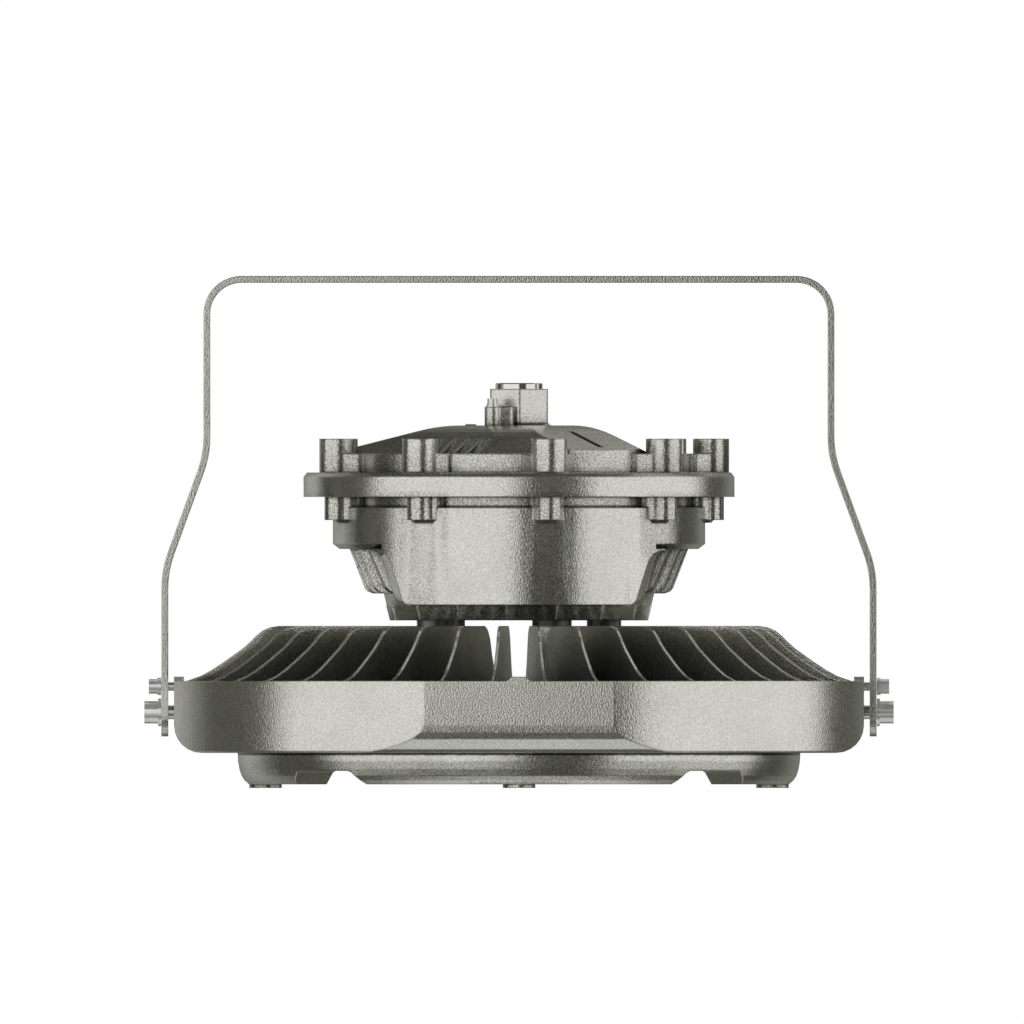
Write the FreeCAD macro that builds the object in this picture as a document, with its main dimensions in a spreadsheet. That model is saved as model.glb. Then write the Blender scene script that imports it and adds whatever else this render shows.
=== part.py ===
import FreeCAD, Part
import math
import os
import Sketcher

os.makedirs("parts", exist_ok=True)
doc = FreeCAD.newDocument("high_bay_light")

# All sizes are in millimetres. Z is up and is 0 under the four feet, X runs along the yoke,
# and the front faces -Y. Every size below is a cell of the sheet.
SIZES = (
    ("ring_r", 207.6), ("flat_d", 200.1), ("ring_in_r", 194.3), ("sink_z", 20.3),
    ("wall_top_z", 62.1), ("flat_fillet", 16.0), ("lobe_edge", 1.0), ("recess_r", 126.0),
    ("recess_z", 32.0), ("plate_z", 40.0), ("plate_r", 168.0), ("rim_z", 28.3),
    ("air_r", 170.5), ("air_len", 15.0), ("air_w", 17.0),
    ("fin_n", 40), ("fin_t", 1.7), ("fin_top_z", 94.0), ("fin_foot_r", 50.0),
    ("post_r", 10.0), ("nip_r", 11.5), ("post_thread_r", 3.0), ("nip_thread_r", 8.0),
    ("nip_bore_r", 5.0), ("post_far_x", 49.3), ("post_far_y", 37.6),
    ("post_rear_x", 41.3), ("post_rear_y", 46.2), ("nip_x", 19.1), ("nip_y", 44.0),
    ("block_x", 178.0), ("block_w", 22.0), ("block_low_z", 33.0), ("block_top_z", 57.0),
    ("tab_w", 14.0), ("tab_top_w", 8.0), ("tab_h", 2.5), ("tab_low_z", 50.0),
    ("pivot_z", 43.9), ("lock_up", 15.0), ("pivot_r", 4.0), ("lock_r", 2.5),
    ("pivot_depth", 18.0), ("lock_depth", 14.0),
    ("lens_ring_r", 163.2), ("lens_lip_r", 132.0), ("lens_foot_z", 2.1), ("lip_z", 12.0),
    ("foot_flat_r", 156.6), ("glass_r", 141.0), ("glass_t", 5.0), ("glass_gap", 1.0),
    ("foot_r", 9.5), ("foot_pitch_r", 147.0), ("notch_top_z", 9.9), ("notch_w", 56.0),
    ("notch_top_w", 40.0), ("ring_screw_pcr", 149.5), ("ring_screw_r", 2.5),
    ("ring_screw_head_r", 4.25), ("ring_screw_head_h", 5.0), ("ring_bore_z", 8.2),
    ("ring_screw_n", 8), ("ring_screw_tip_z", 33.0), ("screw_gap", 0.4),
    ("gasket_in_r", 131.0), ("board_r", 122.0), ("board_t", 1.6), ("led_side", 3.5),
    ("led_h", 0.8), ("board_screw_pcr", 62.0), ("board_screw_r", 1.5),
    ("board_screw_head_r", 3.5), ("board_screw_head_h", 2.2), ("board_screw_len", 6.0),
    ("refl_top_r", 112.0), ("refl_low_r", 125.0), ("refl_t", 1.2),
    ("house_z", 97.2), ("core_low_r", 74.6), ("core_mid_r", 78.4), ("core_mid_z", 112.7),
    ("core_top_r", 85.2), ("shoulder_low_z", 138.6), ("shoulder_low_r", 104.0),
    ("shoulder_r", 108.0), ("shoulder_cham_z", 141.6), ("shoulder_top_z", 162.6),
    ("band_r", 99.5), ("flange_low_z", 168.8), ("flange_r", 125.0), ("joint_z", 175.8),
    ("apron_z", 106.1), ("cav_floor_z", 102.0), ("cav_low_r", 69.0), ("cav_mid_r", 79.0),
    ("cav_mid_z", 142.0), ("cav_r", 96.0), ("cav_step_z", 147.0),
    ("plate_reach", 46.5), ("side_fin_t", 3.0), ("side_fin_gap", 9.857), ("side_fin_z", 112.8),
    ("side_fin_r", 98.3), ("side_fin_x", 61.0), ("flank_y", 67.0), ("flank_run", 28.0),
    ("flank_turn_r", 14.0),
    ("bolt_n", 9), ("bolt_pcr", 111.4), ("low_boss_r", 7.5), ("low_boss_z", 155.4),
    ("skirt_r", 9.6), ("skirt_in", 7.5), ("skirt_drop", 1.6), ("skirt_foot", 2.0),
    ("bolt_r", 4.0), ("bolt_hole_z", 158.5), ("seal_in_r", 98.5), ("seal_out_r", 102.5),
    ("seal_t", 2.2),
    ("flange_top_z", 183.0), ("flange_cham", 2.6), ("flange_cham_r", 2.0),
    ("drum_r", 101.5), ("floor_z", 194.0), ("top_z", 210.3), ("wing_s", 45.8),
    ("wing_fall", 0.2549), ("face_s", 43.3), ("face_fall", 0.5008),
    ("boss_r", 10.5), ("boss_top_z", 202.6), ("boss_bore_r", 7.4), ("boss_seat_z", 186.0),
    ("web_w", 29.0), ("hex_flats", 33.6), ("hex_top_z", 231.5), ("entry_r", 10.0),
    ("slot_s", 57.5), ("slot_run", 12.0), ("slot_w", 6.9), ("rib_t", 1.8),
    ("slot_first_t", 12.5), ("top_round", 12.0),
    ("groove_w", 3.0), ("groove_in_s", 59.0), ("groove_out_s", 95.0), ("groove_d", 2.0),
    ("earth_x", 15.4), ("earth_y", 22.0), ("earth_boss_r", 4.6), ("earth_top_z", 221.1),
    ("earth_r", 2.0), ("earth_depth", 9.0), ("earth_web_x", 3.0), ("entry_edge_r", 2.4),
    ("entry_foot_r", 2.6), ("mark_r", 3.2), ("mark_h", 0.7), ("mark_s", 28.0),
    ("gland_r", 13.65), ("gland_h", 3.4), ("gland_bore_r", 7.5), ("gland_low_z", 214.0),
    ("cable_r", 5.0), ("head_r", 6.5), ("head_h", 8.0), ("socket_flats", 6.0),
    ("socket_d", 4.0), ("washer_t", 1.6), ("washer_r", 7.0), ("fit", 0.05),
    ("hole_gap", 0.3),
    ("yoke_t", 4.0), ("yoke_w", 40.0), ("yoke_top_z", 297.0), ("yoke_up_x", 183.0),
    ("yoke_low_x", 207.4), ("yoke_bend_top_z", 193.7), ("yoke_bend_low_z", 126.7),
    ("yoke_end_z", 29.9), ("yoke_corner_r", 22.0), ("yoke_bend_r", 60.0),
    ("yoke_end_r", 12.0), ("hang_r", 6.5), ("side_hang_r", 4.5), ("side_hang_x", 50.0),
    ("arc_half_w", 2.8), ("arc_half_deg", 46.0), ("pivot_gap", 0.06),
    ("pivot_washer_r", 8.0), ("pivot_washer_t", 1.8), ("washer_gap", 0.1),
    ("lock_head_r", 4.25), ("lock_head_h", 5.0), ("lock_washer_r", 5.0),
    ("lock_washer_t", 2.2),
    ("stand_x", 51.0), ("stand_y", 20.0), ("stand_r", 4.0), ("stand_h", 10.0),
    ("dplate_x", 116.0), ("dplate_y", 76.0), ("dplate_t", 2.0), ("unit_x", 88.0),
    ("unit_y", 64.0), ("unit_h", 36.0), ("term_x", 52.0), ("term_y", 22.0),
    ("term_h", 13.0), ("m4_r", 1.8), ("m4_head_r", 3.5), ("m4_head_h", 2.5),
    ("nut_flats", 22.0), ("nut_h", 5.0), ("nip_up_z", 109.0), ("nip_low_z", 80.0),
    ("post_screw_low_z", 80.0), ("post_head_r", 5.0), ("post_head_h", 6.0),
)

sheet = doc.addObject("Spreadsheet::Sheet", "sheet")
value = {}
row = 1
for alias, number in SIZES:
    sheet.set("A%d" % row, alias)
    sheet.set("B%d" % row, str(number))
    sheet.setAlias("B%d" % row, alias)
    value[alias] = float(number)
    row += 1
doc.recompute()


class Q:
    """A size: its value, and the sheet expression that gives it."""

    def __init__(self, text, number):
        self.text = text
        self.number = number

    def __add__(self, other):
        o = quantity(other)
        return Q("(%s + %s)" % (self.text, o.text), self.number + o.number)

    def __radd__(self, other):
        return quantity(other) + self

    def __sub__(self, other):
        o = quantity(other)
        return Q("(%s - %s)" % (self.text, o.text), self.number - o.number)

    def __rsub__(self, other):
        return quantity(other) - self

    def __mul__(self, other):
        o = quantity(other)
        return Q("(%s * %s)" % (self.text, o.text), self.number * o.number)

    def __rmul__(self, other):
        return quantity(other) * self

    def __truediv__(self, other):
        o = quantity(other)
        return Q("(%s / %s)" % (self.text, o.text), self.number / o.number)

    def __neg__(self):
        return quantity(0) - self


def quantity(item):
    """A size from a sheet alias, a number or a size."""
    if isinstance(item, Q):
        return item
    if isinstance(item, str):
        return Q("sheet." + item, value[item])
    return Q(repr(float(item)), float(item))


def body(name):
    return doc.addObject("PartDesign::Body", name)


def origin(b, role):
    for item in b.Origin.OriginFeatures:
        if item.Role == role:
            return item
    return None


def sketch(b, name, role, lift=0, turn=0):
    """A sketch on one of the body's own planes, lifted along its normal and turned about Y."""
    s = b.newObject("Sketcher::SketchObject", name)
    s.AttachmentSupport = (origin(b, role), [""])
    s.MapMode = "FlatFace"
    rise = quantity(lift)
    s.AttachmentOffset = FreeCAD.Placement(
        FreeCAD.Vector(0, 0, rise.number),
        FreeCAD.Rotation(FreeCAD.Vector(0, 1, 0), turn))
    if rise.number != 0:
        s.setExpression("AttachmentOffset.Base.z", rise.text)
    return s


def drive(s, kind, geo, point, axis_value):
    """Tie one coordinate of a sketch point to the sheet, measured from the sketch origin."""
    q = quantity(axis_value)
    if abs(q.number) < 1e-9:
        other = -1 if kind == "DistanceY" else -2
        s.addConstraint(Sketcher.Constraint("PointOnObject", geo, point, other))
        return
    index = s.addConstraint(Sketcher.Constraint(kind, -1, 1, geo, point, q.number))
    s.setExpression("Constraints[%d]" % index, q.text)


def polygon(s, points):
    """A closed outline of straight lines whose corners are sheet sizes."""
    corners = [(quantity(p[0]), quantity(p[1])) for p in points]
    first = s.GeometryCount
    count = len(corners)
    for k in range(count):
        a = corners[k]
        b = corners[(k + 1) % count]
        s.addGeometry(Part.LineSegment(
            FreeCAD.Vector(a[0].number, a[1].number, 0),
            FreeCAD.Vector(b[0].number, b[1].number, 0)), False)
    for k in range(count):
        nxt = first + (k + 1) % count
        s.addConstraint(Sketcher.Constraint("Coincident", first + k, 2, nxt, 1))
    for k in range(count):
        drive(s, "DistanceX", first + k, 1, corners[k][0])
        drive(s, "DistanceY", first + k, 1, corners[k][1])


def circle(s, x, y, r):
    """A circle whose centre and radius are sheet sizes."""
    cx = quantity(x)
    cy = quantity(y)
    cr = quantity(r)
    geo = s.addGeometry(Part.Circle(
        FreeCAD.Vector(cx.number, cy.number, 0), FreeCAD.Vector(0, 0, 1), cr.number), False)
    drive(s, "DistanceX", geo, 3, cx)
    drive(s, "DistanceY", geo, 3, cy)
    index = s.addConstraint(Sketcher.Constraint("Radius", geo, cr.number))
    s.setExpression("Constraints[%d]" % index, cr.text)


def rectangle(s, x0, x1, y0, y1):
    polygon(s, ((x0, y0), (x1, y0), (x1, y1), (x0, y1)))


def revolve(b, s, name, cut=False):
    kind = "PartDesign::Groove" if cut else "PartDesign::Revolution"
    f = b.newObject(kind, name)
    f.Profile = s
    f.ReferenceAxis = (origin(b, "Z_Axis"), [""])
    f.Angle = 360.0
    s.Visibility = False
    return f


def pad(b, s, name, length, both=False, back=False):
    f = b.newObject("PartDesign::Pad", name)
    f.Profile = s
    q = quantity(length)
    f.Length = q.number
    f.setExpression("Length", q.text)
    f.Midplane = both
    f.Reversed = back
    s.Visibility = False
    return f


def pocket(b, s, name, length, both=False, back=False):
    f = b.newObject("PartDesign::Pocket", name)
    f.Profile = s
    q = quantity(length)
    f.Length = q.number
    f.setExpression("Length", q.text)
    f.Midplane = both
    f.Reversed = back
    s.Visibility = False
    return f


def polar(b, features, name, count):
    """Repeat features evenly round the vertical axis."""
    f = b.newObject("PartDesign::PolarPattern", name)
    f.Originals = features
    f.Axis = (origin(b, "Z_Axis"), [""])
    f.Angle = 360.0
    q = quantity(count)
    f.Occurrences = int(q.number)
    if isinstance(count, str):
        f.setExpression("Occurrences", q.text)
    b.Tip = f
    return f


def edges_at(b, tests):
    """The last feature and its straight edges along Y whose X and Z lie near one of the given places."""
    names = []
    for index, e in enumerate(b.Shape.Edges):
        if len(e.Vertexes) != 2:
            continue
        p = e.Vertexes[0].Point
        q = e.Vertexes[1].Point
        if abs(p.x - q.x) > 0.01 or abs(p.z - q.z) > 0.01:
            continue
        for place in tests:
            if abs(abs(p.x) - place[0]) < 0.4 and abs(p.z - place[1]) < 0.4:
                names.append("Edge%d" % (index + 1))
                break
    return b.Tip, names


def upright_edges(b, reach, high):
    """The last feature and its vertical edges that end at a height and stand at a distance from the axis."""
    names = []
    for index, e in enumerate(b.Shape.Edges):
        if len(e.Vertexes) != 2:
            continue
        p = e.Vertexes[0].Point
        q = e.Vertexes[1].Point
        if math.hypot(p.x - q.x, p.y - q.y) > 0.01:
            continue
        if abs(max(p.z, q.z) - high) < 0.1 and abs(math.hypot(p.x, p.y) - reach) < 0.1:
            names.append("Edge%d" % (index + 1))
    return b.Tip, names


def ring_edges(b, reach, high):
    """The last feature and its level edges at a height that lie within a distance of the axis."""
    names = []
    for index, e in enumerate(b.Shape.Edges):
        points = [vertex.Point for vertex in e.Vertexes]
        level = all(abs(p.z - high) < 0.05 for p in points)
        if points and level and all(math.hypot(p.x, p.y) < reach for p in points):
            names.append("Edge%d" % (index + 1))
    return b.Tip, names


def round_edges(b, name, edges, radius):
    """Round edges found by one of the functions above."""
    f = b.newObject("PartDesign::Fillet", name)
    f.Base = (edges[0], edges[1])
    q = quantity(radius)
    f.Radius = q.number
    f.setExpression("Radius", q.text)
    doc.recompute()
    b.Tip = f
    return f


nodes = {}


def node(name, item, label):
    item.Label = label
    nodes[name] = item


# Heat sink: pan, four flats, forty radial fins, columns, pivot blocks.
sink = body("HeatSink")
s = sketch(sink, "SinkPan", "XZ_Plane")
polygon(s, (
    (0, "recess_z"), ("recess_r", "recess_z"), ("recess_r", "sink_z"),
    (quantity("ring_r") - "lobe_edge", "sink_z"),
    ("ring_r", quantity("sink_z") + "lobe_edge"), ("ring_r", "wall_top_z"),
    ("ring_in_r", "wall_top_z"), ("ring_in_r", "rim_z"), ("plate_r", "rim_z"),
    ("plate_r", "plate_z"), (0, "plate_z")))
revolve(sink, s, "SinkPanTurned")

# Columns under the driver housing: three for its screws and one for the cable nipple.
s = sketch(sink, "Columns", "XY_Plane", quantity("plate_z") - 2)
circle(s, "post_far_x", "post_far_y", "post_r")
circle(s, -quantity("post_far_x"), -quantity("post_far_y"), "post_r")
circle(s, -quantity("post_rear_x"), "post_rear_y", "post_r")
circle(s, "nip_x", -quantity("nip_y"), "nip_r")
pad(sink, s, "ColumnsUp", quantity("fin_top_z") - "plate_z" + 2)

# One fin, with its swept outer edge and hollowed inner edge, then all of them.
s = sketch(sink, "FinOutline", "XZ_Plane", 0, 180.0 / value["fin_n"])
foot = quantity("fin_foot_r")
inside = (
    (foot, quantity("plate_z") - 4), (foot + 2, "plate_z"), (foot + 8.5, "wall_top_z"),
    (foot + 15, quantity("fin_top_z") - 24), (foot + 20, quantity("fin_top_z") - 17),
    (foot + 23, quantity("fin_top_z") - 11), (foot + 26, quantity("fin_top_z") - 6.3),
    (foot + 31, quantity("fin_top_z") - 2.2), (foot + 38, "fin_top_z"))
edge = quantity("ring_in_r")
top = quantity("fin_top_z")
outside = (
    (edge - 54.5, top), (edge - 49.5, top - 0.8), (edge - 45, top - 2.8),
    (edge - 41.3, top - 5.8), (edge - 38.0, top - 9.2), (edge - 34.0, top - 12.8),
    (edge - 29.0, top - 16.4), (edge - 22.5, top - 21.0), (edge - 16.0, top - 25.3),
    (edge - 9.5, top - 28.9), (edge - 3.5, top - 31.0),
    (edge + 2.5, quantity("wall_top_z") - 1.2),
    (edge + 2.5, quantity("rim_z") - 2),
    (quantity("plate_r") - 2, quantity("rim_z") - 2),
    (quantity("plate_r") - 2, quantity("plate_z") - 4))
polygon(s, inside + outside)
fin = pad(sink, s, "Fin", "fin_t", True)
polar(sink, [fin], "Fins", "fin_n")

# A tab on the wall above each flat, and a threaded block inside the two that carry the yoke.
s = sketch(sink, "TabOutline", "YZ_Plane", "ring_in_r")
half = quantity("tab_w") / 2
half_top = quantity("tab_top_w") / 2
tab_top = quantity("wall_top_z") + "tab_h"
polygon(s, (
    (-half, "tab_low_z"), (half, "tab_low_z"), (half, "wall_top_z"), (half_top, tab_top),
    (-half_top, tab_top), (-half, "wall_top_z")))
tab = pad(sink, s, "Tab", quantity("ring_r") - "ring_in_r")
polar(sink, [tab], "Tabs", 4)
s = sketch(sink, "BlockPlan", "XY_Plane", "block_low_z")
rectangle(s, "block_x", quantity("ring_in_r") + 2, -quantity("block_w") / 2,
          quantity("block_w") / 2)
block = pad(sink, s, "PivotBlock", quantity("block_top_z") - "block_low_z")
s = sketch(sink, "LockPlan", "XY_Plane", quantity("block_top_z") - 1)
rectangle(s, quantity("block_x") + 4, quantity("ring_in_r") + 2, -half, half)
lock_block = pad(sink, s, "LockBlock", quantity("wall_top_z") - "block_top_z" + 1)
polar(sink, [block, lock_block], "PivotBlocks", 2)

# The four flats, each with its deep rounded lower edge.
s = sketch(sink, "FlatCut", "XZ_Plane")
round_r = quantity("flat_fillet")
flat = quantity("flat_d")
low = quantity("sink_z")
steps = 6
curve = []
for k in range(steps + 1):
    angle = math.pi / 2 * k / steps
    curve.append((flat - round_r * (1 - math.cos(angle)), low + round_r * (1 - math.sin(angle))))
polygon(s, tuple(
    [(flat, "yoke_bend_low_z")] + curve
    + [(flat - round_r, low - 5), (quantity("ring_r") + 5, low - 5),
       (quantity("ring_r") + 5, "yoke_bend_low_z")]))
flat_cut = pocket(sink, s, "Flat", quantity("ring_r") * 1.2, True)
polar(sink, [flat_cut], "Flats", 4)

# Air passages between the fins, round the plate.
s = sketch(sink, "AirPlan", "XY_Plane", quantity("sink_z") - 1)
rectangle(s, "air_r", quantity("air_r") + "air_len", -quantity("air_w") / 2,
          quantity("air_w") / 2)
air = pocket(sink, s, "AirHole", quantity("rim_z") - "sink_z" + 2, False, True)
polar(sink, [air], "AirHoles", "fin_n")

# Threads: yoke bolts, lens ring, housing screws, nipple and board screws.
s = sketch(sink, "PivotThread", "YZ_Plane", quantity("flat_d") - "pivot_depth")
circle(s, 0, "pivot_z", quantity("pivot_r") + "fit")
pivot_bore = pocket(sink, s, "PivotBore", quantity("pivot_depth") + 12, False, True)
s = sketch(sink, "LockThread", "YZ_Plane", quantity("flat_d") - "lock_depth")
circle(s, 0, quantity("pivot_z") + "lock_up", quantity("lock_r") + "fit")
lock_bore = pocket(sink, s, "LockBore", quantity("lock_depth") + 12, False, True)
polar(sink, [pivot_bore, lock_bore], "YokeBores", 2)
s = sketch(sink, "LensThread", "XY_Plane", quantity("sink_z") - 1)
turn = math.pi / value["ring_screw_n"]
pcr = quantity("ring_screw_pcr")
circle(s, pcr * math.cos(turn), pcr * math.sin(turn), quantity("ring_screw_r") + "fit")
lens_bore = pocket(sink, s, "LensBore", quantity("ring_screw_tip_z") - "sink_z" + 1, False, True)
polar(sink, [lens_bore], "LensBores", "ring_screw_n")
s = sketch(sink, "PostThread", "XY_Plane", "fin_top_z")
circle(s, "post_far_x", "post_far_y", quantity("post_thread_r") + "fit")
circle(s, -quantity("post_far_x"), -quantity("post_far_y"), quantity("post_thread_r") + "fit")
circle(s, -quantity("post_rear_x"), "post_rear_y", quantity("post_thread_r") + "fit")
pocket(sink, s, "PostBores", quantity("fin_top_z") - "post_screw_low_z")
s = sketch(sink, "NippleThread", "XY_Plane", "fin_top_z")
circle(s, "nip_x", -quantity("nip_y"), quantity("nip_thread_r") + "fit")
pocket(sink, s, "NippleBore", quantity("fin_top_z") - "nip_low_z")
s = sketch(sink, "WireWay", "XY_Plane", "fin_top_z")
circle(s, "nip_x", -quantity("nip_y"), "nip_bore_r")
pocket(sink, s, "WireBore", quantity("fin_top_z") - "recess_z" + 1)
s = sketch(sink, "BoardThread", "XY_Plane", "recess_z")
circle(s, "board_screw_pcr", 0, quantity("board_screw_r") + "fit")
board_bore = pocket(sink, s, "BoardBore", "board_screw_len", False, True)
polar(sink, [board_bore], "BoardBores", 3)
node("heat_sink", sink, "Finned heat sink casting")

# Lens ring with feet, vents and counterbored screw holes.
ring = body("LensRing")
s = sketch(ring, "RingProfile", "XZ_Plane")
lr = quantity("lens_ring_r")
lz = quantity("lens_foot_z")
polygon(s, (
    ("lens_lip_r", lz), ("foot_flat_r", lz), (lr - 4.0, lz + 2.3), (lr - 2.2, lz + 5.0),
    (lr - 1.0, lz + 8.9), (lr - 0.2, lz + 13.5), (lr, "sink_z"),
    (quantity("glass_r") + "glass_gap", "sink_z"), (quantity("glass_r") + "glass_gap", "lip_z"),
    ("lens_lip_r", "lip_z")))
revolve(ring, s, "RingTurned")
s = sketch(ring, "FootPlan", "XY_Plane")
circle(s, "foot_pitch_r", 0, "foot_r")
foot_pad = pad(ring, s, "Foot", lz + 0.5)
polar(ring, [foot_pad], "Feet", 4)
s = sketch(ring, "NotchOutline", "YZ_Plane", 0, 45)
wide = quantity("notch_w") / 2
narrow = quantity("notch_top_w") / 2
high = quantity("notch_top_z")
polygon(s, (
    (-wide - 2, lz - 1), (wide + 2, lz - 1), (wide, lz + 1), (narrow + 2.4, high - 1.0),
    (narrow, high), (-narrow, high), (-narrow - 2.4, high - 1.0), (-wide, lz + 1)))
notch = pocket(ring, s, "Notch", quantity("lens_ring_r") + 10, False, True)
polar(ring, [notch], "Notches", 4)
s = sketch(ring, "ScrewPlan", "XY_Plane")
circle(s, pcr * math.cos(turn), pcr * math.sin(turn), quantity("ring_screw_r") + "hole_gap")
screw_hole = pocket(ring, s, "ScrewHole", quantity("sink_z") + 1, False, True)
s = sketch(ring, "HeadPlan", "XY_Plane")
circle(s, pcr * math.cos(turn), pcr * math.sin(turn),
       quantity("ring_screw_head_r") + "screw_gap")
head_hole = pocket(ring, s, "HeadHole", "ring_bore_z", False, True)
polar(ring, [screw_hole, head_hole], "ScrewHoles", "ring_screw_n")
node("retaining_ring", ring, "Lens retaining ring with feet")


def tube(name, outer, inner, z0, height):
    """A plain ring round the vertical axis."""
    b = body(name)
    s = sketch(b, name + "Plan", "XY_Plane", z0)
    circle(s, 0, 0, outer)
    if inner is not None:
        circle(s, 0, 0, inner)
    pad(b, s, name + "Up", height)
    return b


glass = tube("Glass", "glass_r", None, "lip_z", "glass_t")
node("glass_lens", glass, "Toughened glass disc")
seal_z = quantity("lip_z") + "glass_t"
lens_seal = tube("LensSeal", "glass_r", "gasket_in_r", seal_z, quantity("sink_z") - seal_z)
node("lens_gasket", lens_seal, "Flat silicone gasket over the glass")

board_z = quantity("recess_z") - "board_t"
board = body("Board")
s = sketch(board, "BoardPlan", "XY_Plane", board_z)
circle(s, 0, 0, "board_r")
circle(s, "nip_x", -quantity("nip_y"), "nip_bore_r")
third = 2 * math.pi / 3
for k in range(3):
    circle(s, quantity("board_screw_pcr") * math.cos(third * k),
           quantity("board_screw_pcr") * math.sin(third * k),
           quantity("board_screw_r") + "hole_gap")
pad(board, s, "BoardUp", "board_t")
node("led_board", board, "Round LED board")

refl = body("Reflector")
s = sketch(refl, "ReflectorProfile", "XZ_Plane")
polygon(s, (
    ("refl_top_r", board_z), (quantity("refl_top_r") + "refl_t", board_z),
    ("refl_low_r", seal_z + "refl_t"), ("refl_low_r", seal_z),
    (quantity("refl_low_r") - "refl_t", seal_z)))
revolve(refl, s, "ReflectorTurned")
node("reflector", refl, "Conical edge reflector")


def placed(item, x, y, z, angle=0, axis=(0, 0, 1)):
    """Place a primitive, with its position taken from the sheet."""
    qx = quantity(x)
    qy = quantity(y)
    qz = quantity(z)
    item.Placement = FreeCAD.Placement(
        FreeCAD.Vector(qx.number, qy.number, qz.number),
        FreeCAD.Rotation(FreeCAD.Vector(*axis), angle))
    item.setExpression("Placement.Base.x", qx.text)
    item.setExpression("Placement.Base.y", qy.text)
    item.setExpression("Placement.Base.z", qz.text)
    return item


def cylinder(name, r, h, x=0, y=0, z=0, angle=0, axis=(0, 0, 1)):
    item = doc.addObject("Part::Cylinder", name)
    qr = quantity(r)
    qh = quantity(h)
    item.Radius = qr.number
    item.Height = qh.number
    item.setExpression("Radius", qr.text)
    item.setExpression("Height", qh.text)
    return placed(item, x, y, z, angle, axis)


def box(name, lx, ly, lz, x, y, z, angle=0):
    item = doc.addObject("Part::Box", name)
    for field, size in (("Length", lx), ("Width", ly), ("Height", lz)):
        q = quantity(size)
        setattr(item, field, q.number)
        item.setExpression(field, q.text)
    return placed(item, x, y, z, angle)


def prism(name, flats, h, x, y, z, angle=0, axis=(0, 0, 1)):
    item = doc.addObject("Part::Prism", name)
    item.Polygon = 6
    q = quantity(flats) / math.sqrt(3)
    qh = quantity(h)
    item.Circumradius = q.number
    item.Height = qh.number
    item.setExpression("Circumradius", q.text)
    item.setExpression("Height", qh.text)
    return placed(item, x, y, z, angle, axis)


def fuse(name, items):
    f = doc.addObject("Part::MultiFuse", name)
    f.Shapes = items
    return f


def cut(name, base, tool):
    f = doc.addObject("Part::Cut", name)
    f.Base = base
    f.Tool = tool
    return f


def group(name, items):
    f = doc.addObject("Part::Compound", name)
    f.Links = items
    return f


# Rings of light-emitting diodes on the underside of the board.
LED_RINGS = ((18.0, 6), (35.0, 12), (80.0, 22), (100.0, 28))
leds = []
for radius, count in LED_RINGS:
    for k in range(count):
        a = 2 * math.pi * (k + 0.5) / count
        chip = box("Led%d_%d" % (int(radius), k), "led_side", "led_side", "led_h",
                   radius * math.cos(a), radius * math.sin(a),
                   board_z - "led_h", math.degrees(a))
        leds.append(chip)
node("leds", group("Leds", leds), "Light-emitting diodes")


def cap_screw(name, x, y, z, head_r, head_h, shank_r, shank, flats, deep, up=True):
    """A socket-head screw on a vertical axis; z is its seat, and up puts its head above."""
    qz = quantity(z)
    if up:
        head = cylinder(name + "Head", head_r, head_h, x, y, qz)
        stem = cylinder(name + "Stem", shank_r, quantity(shank) + 1, x, y, qz - shank)
        tool = prism(name + "Key", flats, quantity(deep) + 1, x, y,
                     qz + head_h - deep)
    else:
        head = cylinder(name + "Head", head_r, head_h, x, y, qz - head_h)
        stem = cylinder(name + "Stem", shank_r, quantity(shank) + 1, x, y, qz - 1)
        tool = prism(name + "Key", flats, quantity(deep) + 1, x, y,
                     qz - head_h - 1)
    return cut(name, fuse(name + "Solid", [head, stem]), tool)


screws = []
for k in range(int(value["ring_screw_n"])):
    a = 2 * turn * (k + 0.5)
    screws.append(cap_screw(
        "RingScrew%d" % k, pcr * math.cos(a), pcr * math.sin(a), "ring_bore_z",
        "ring_screw_head_r", "ring_screw_head_h", "ring_screw_r",
        quantity("ring_screw_tip_z") - "ring_bore_z", 4.0, 2.5, False))
node("ring_screws", group("RingScrews", screws), "Lens ring cap screws")

screws = []
for k in range(3):
    a = third * k
    bx = quantity("board_screw_pcr") * math.cos(a)
    by = quantity("board_screw_pcr") * math.sin(a)
    screws.append(cap_screw(
        "BoardScrew%d" % k, bx, by, board_z, "board_screw_head_r", "board_screw_head_h",
        "board_screw_r", quantity("board_t") + "board_screw_len", 2.5, 1.2, False))
node("board_screws", group("BoardScrews", screws), "LED board screws")

# Driver housing: bowl, aprons, side fins, flange and bolt bosses.
house = body("DriverHousing")
s = sketch(house, "HouseOuter", "XZ_Plane")
polygon(s, (
    (0, "apron_z"), ("shoulder_r", "apron_z"), ("shoulder_r", "shoulder_top_z"),
    ("band_r", quantity("shoulder_top_z") + 0.8), ("band_r", "flange_low_z"),
    ("flange_r", "flange_low_z"), ("flange_r", "joint_z"), (0, "joint_z")))
revolve(house, s, "HouseTurned")

# Side windows, cut away beside the front and rear aprons.
az = quantity("apron_z")
sz = quantity("shoulder_low_z")
outer = quantity("shoulder_r") + 5
lower_end = (
    (64.0, az - 5), (64.0, az), (69.0, az + 1.8), (72.2, az + 5.2), (73.6, az + 8.5))
upper_end = (
    (78.2, sz - 7.6), (79.8, sz - 4.2), (82.6, sz - 1.4), (86.4, sz), (outer, sz),
    (outer, az - 12))
windows = []
for side in (1, -1):
    tag = "Front" if side > 0 else "Rear"
    s = sketch(house, "Window" + tag, "XZ_Plane", quantity("plate_reach") * side)
    polygon(s, lower_end + upper_end[:-1] + ((outer, az - 5),))
    windows.append(pocket(house, s, "WindowCut" + tag, outer - "plate_reach", False, side > 0))

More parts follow.
